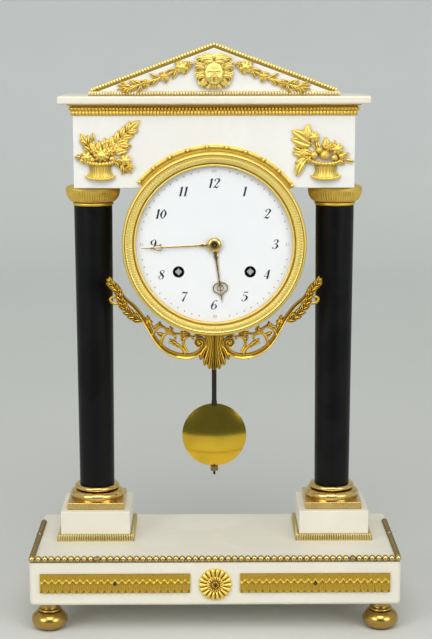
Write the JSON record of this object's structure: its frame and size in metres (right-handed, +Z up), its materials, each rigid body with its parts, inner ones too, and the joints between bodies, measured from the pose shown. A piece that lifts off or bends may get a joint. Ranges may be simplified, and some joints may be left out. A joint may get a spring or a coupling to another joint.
{
  "type": "portico clock",
  "caption": "Mantel clock in the form of a small temple front: a round striking movement hung between columns over a free pendulum.",
  "frame": {"origin": "on the floor under the middle of the clock's outer box", "axes": "+X to the viewer's right, -Y towards the viewer, +Z up"},
  "size_m": [0.2984, 0.1284, 0.4693],
  "materials": {
    "white_marble": "polished, faintly veined",
    "black_marble": "satin black",
    "gilt_bronze": "fire-gilt, matt grounds and burnished edges",
    "brass": "polished",
    "steel": "polished",
    "dark_iron": "dark, browned",
    "white_enamel": "glossy enamel",
    "clear_glass": "clear, domed"
  },
  "bodies": {
    "case": {"base_plinth": "white_marble", "feet": "gilt_bronze", "base_beads": "gilt_bronze", "frieze_panels": "gilt_bronze", "base_rosette": "gilt_bronze", "pedestals": "white_marble", "pedestal_mouldings": "gilt_bronze", "column_bases": "gilt_bronze", "columns": "black_marble", "capitals": "gilt_bronze", "tie_rods": "dark_iron", "entablature": "white_marble", "entablature_frieze": "gilt_bronze", "cornice": "white_marble", "pediment": "white_marble", "pediment_beads": "gilt_bronze", "pediment_moulding": "gilt_bronze", "mask": "gilt_bronze", "garlands": "gilt_bronze", "flower_basket_left": "gilt_bronze", "flower_basket_right": "gilt_bronze", "bead_and_reel": "gilt_bronze", "scroll_mount": "gilt_bronze", "drum": "brass", "dial_surround": "brass", "dial": "white_enamel", "rear_ring": "brass", "front_plate": "brass", "back_plate": "brass", "plate_pillars": "brass", "bell": "brass", "bell_stand": "steel", "pendulum_cock": "brass", "hinge_pins": "brass", "clicks": "steel"},
    "bezel": {"bezel": "gilt_bronze", "bezel_glass": "clear_glass"},
    "back_door": {"back_door": "brass"},
    "going_barrel": {"going_barrel": "brass"},
    "strike_barrel": {"strike_barrel": "brass"},
    "going_arbor": {"going_arbor": "steel"},
    "strike_arbor": {"strike_arbor": "steel"},
    "second_wheel": {"second_wheel": "brass"},
    "centre_wheel": {"centre_wheel": "brass"},
    "third_wheel": {"third_wheel": "brass"},
    "escape_wheel": {"escape_wheel": "brass"},
    "anchor": {"anchor": "steel"},
    "minute_work": {"cannon_pinion": "brass", "minute_hand": "gilt_bronze", "hand_collet": "gilt_bronze"},
    "minute_wheel": {"minute_wheel": "brass"},
    "hour_work": {"hour_wheel": "brass", "hour_hand": "gilt_bronze"},
    "pin_wheel": {"pin_wheel": "brass"},
    "locking_wheel": {"locking_wheel": "brass"},
    "fly": {"fly": "brass"},
    "hammer": {"hammer": "steel"},
    "pendulum": {"pendulum_rod": "dark_iron", "pendulum_bob": "brass"},
    "rating_nut": {"rating_nut": "brass"}
  },
  "joints": [
    {"name": "bezel_hinge", "type": "hinge", "parent": "case", "child": "bezel", "pos_m": [0.0721, -0.01375, 0.311], "axis": [0, 0, 1], "range_deg": [0, 105]},
    {"name": "back_door_hinge", "type": "hinge", "parent": "case", "child": "back_door", "pos_m": [0.0736, 0.062, 0.311], "axis": [0, 0, -1], "range_deg": [0, 100]},
    {"name": "going_barrel_turn", "type": "hinge", "parent": "case", "child": "going_barrel", "pos_m": [0.0287, 0.0118, 0.2888], "axis": [0, -1, 0], "continuous": true},
    {"name": "second_wheel_turn", "type": "hinge", "parent": "case", "child": "second_wheel", "pos_m": [0.01831, 0.0118, 0.30876], "axis": [0, -1, 0], "continuous": true},
    {"name": "centre_wheel_turn", "type": "hinge", "parent": "case", "child": "centre_wheel", "pos_m": [0, 0.0118, 0.311], "axis": [0, -1, 0], "continuous": true},
    {"name": "third_wheel_turn", "type": "hinge", "parent": "case", "child": "third_wheel", "pos_m": [-0.01183, 0.0118, 0.3251], "axis": [0, -1, 0], "continuous": true},
    {"name": "escape_wheel_turn", "type": "hinge", "parent": "case", "child": "escape_wheel", "pos_m": [0, 0.0118, 0.33797], "axis": [0, -1, 0], "continuous": true},
    {"name": "going_winding", "type": "hinge", "parent": "case", "child": "going_arbor", "pos_m": [0.0287, -0.014, 0.2888], "axis": [0, -1, 0], "continuous": true},
    {"name": "strike_winding", "type": "hinge", "parent": "case", "child": "strike_arbor", "pos_m": [-0.0287, -0.014, 0.2888], "axis": [0, -1, 0], "continuous": true},
    {"name": "strike_barrel_turn", "type": "hinge", "parent": "case", "child": "strike_barrel", "pos_m": [-0.0287, 0.0118, 0.2888], "axis": [0, -1, 0], "continuous": true},
    {"name": "pin_wheel_turn", "type": "hinge", "parent": "case", "child": "pin_wheel", "pos_m": [-0.03651, 0.0118, 0.3099], "axis": [0, -1, 0], "continuous": true},
    {"name": "locking_wheel_turn", "type": "hinge", "parent": "case", "child": "locking_wheel", "pos_m": [-0.03768, 0.0118, 0.32329], "axis": [0, -1, 0], "continuous": true},
    {"name": "fly_turn", "type": "hinge", "parent": "case", "child": "fly", "pos_m": [-0.03497, 0.0118, 0.33338], "axis": [0, -1, 0], "continuous": true},
    {"name": "minute_hand_turn", "type": "hinge", "parent": "case", "child": "minute_work", "pos_m": [0, -0.019, 0.311], "axis": [0, -1, 0], "continuous": true},
    {"name": "minute_wheel_turn", "type": "hinge", "parent": "case", "child": "minute_wheel", "pos_m": [0.00771, -0.01, 0.32019], "axis": [0, -1, 0], "continuous": true},
    {"name": "hour_hand_turn", "type": "hinge", "parent": "case", "child": "hour_work", "pos_m": [0, -0.017, 0.311], "axis": [0, -1, 0], "continuous": true},
    {"name": "hammer_lift", "type": "hinge", "parent": "case", "child": "hammer", "pos_m": [-0.046, 0.0303, 0.299], "axis": [0, -1, 0], "range_deg": [-10, 0], "stiffness_Nm_per_rad": 0.02},
    {"name": "pendulum_swing", "type": "hinge", "parent": "case", "child": "pendulum", "pos_m": [0, 0.0388, 0.35147], "axis": [0, -1, 0], "range_deg": [-4, 4]},
    {"name": "anchor_rock", "type": "hinge", "parent": "case", "child": "anchor", "pos_m": [0, 0.0118, 0.35147], "axis": [0, -1, 0], "range_deg": [-4, 4]},
    {"name": "rating_nut_turn", "type": "hinge", "parent": "pendulum", "child": "rating_nut", "pos_m": [0, 0.0388, 0.11172], "axis": [0, 0, 1], "continuous": true}
  ],
  "couplings": [
    {"joint": "centre_wheel_turn", "follows": "third_wheel_turn", "ratio": -0.095238},
    {"joint": "second_wheel_turn", "follows": "third_wheel_turn", "ratio": 0.013228},
    {"joint": "going_barrel_turn", "follows": "third_wheel_turn", "ratio": -0.0016534},
    {"joint": "escape_wheel_turn", "follows": "third_wheel_turn", "ratio": -10.5},
    {"joint": "pin_wheel_turn", "follows": "locking_wheel_turn", "ratio": -0.14286},
    {"joint": "strike_barrel_turn", "follows": "locking_wheel_turn", "ratio": 0.017857},
    {"joint": "fly_turn", "follows": "locking_wheel_turn", "ratio": -6.25},
    {"joint": "minute_wheel_turn", "follows": "minute_hand_turn", "ratio": -0.33333},
    {"joint": "hour_hand_turn", "follows": "minute_hand_turn", "ratio": 0.083333},
    {"joint": "anchor_rock", "follows": "pendulum_swing", "ratio": 1}
  ]
}
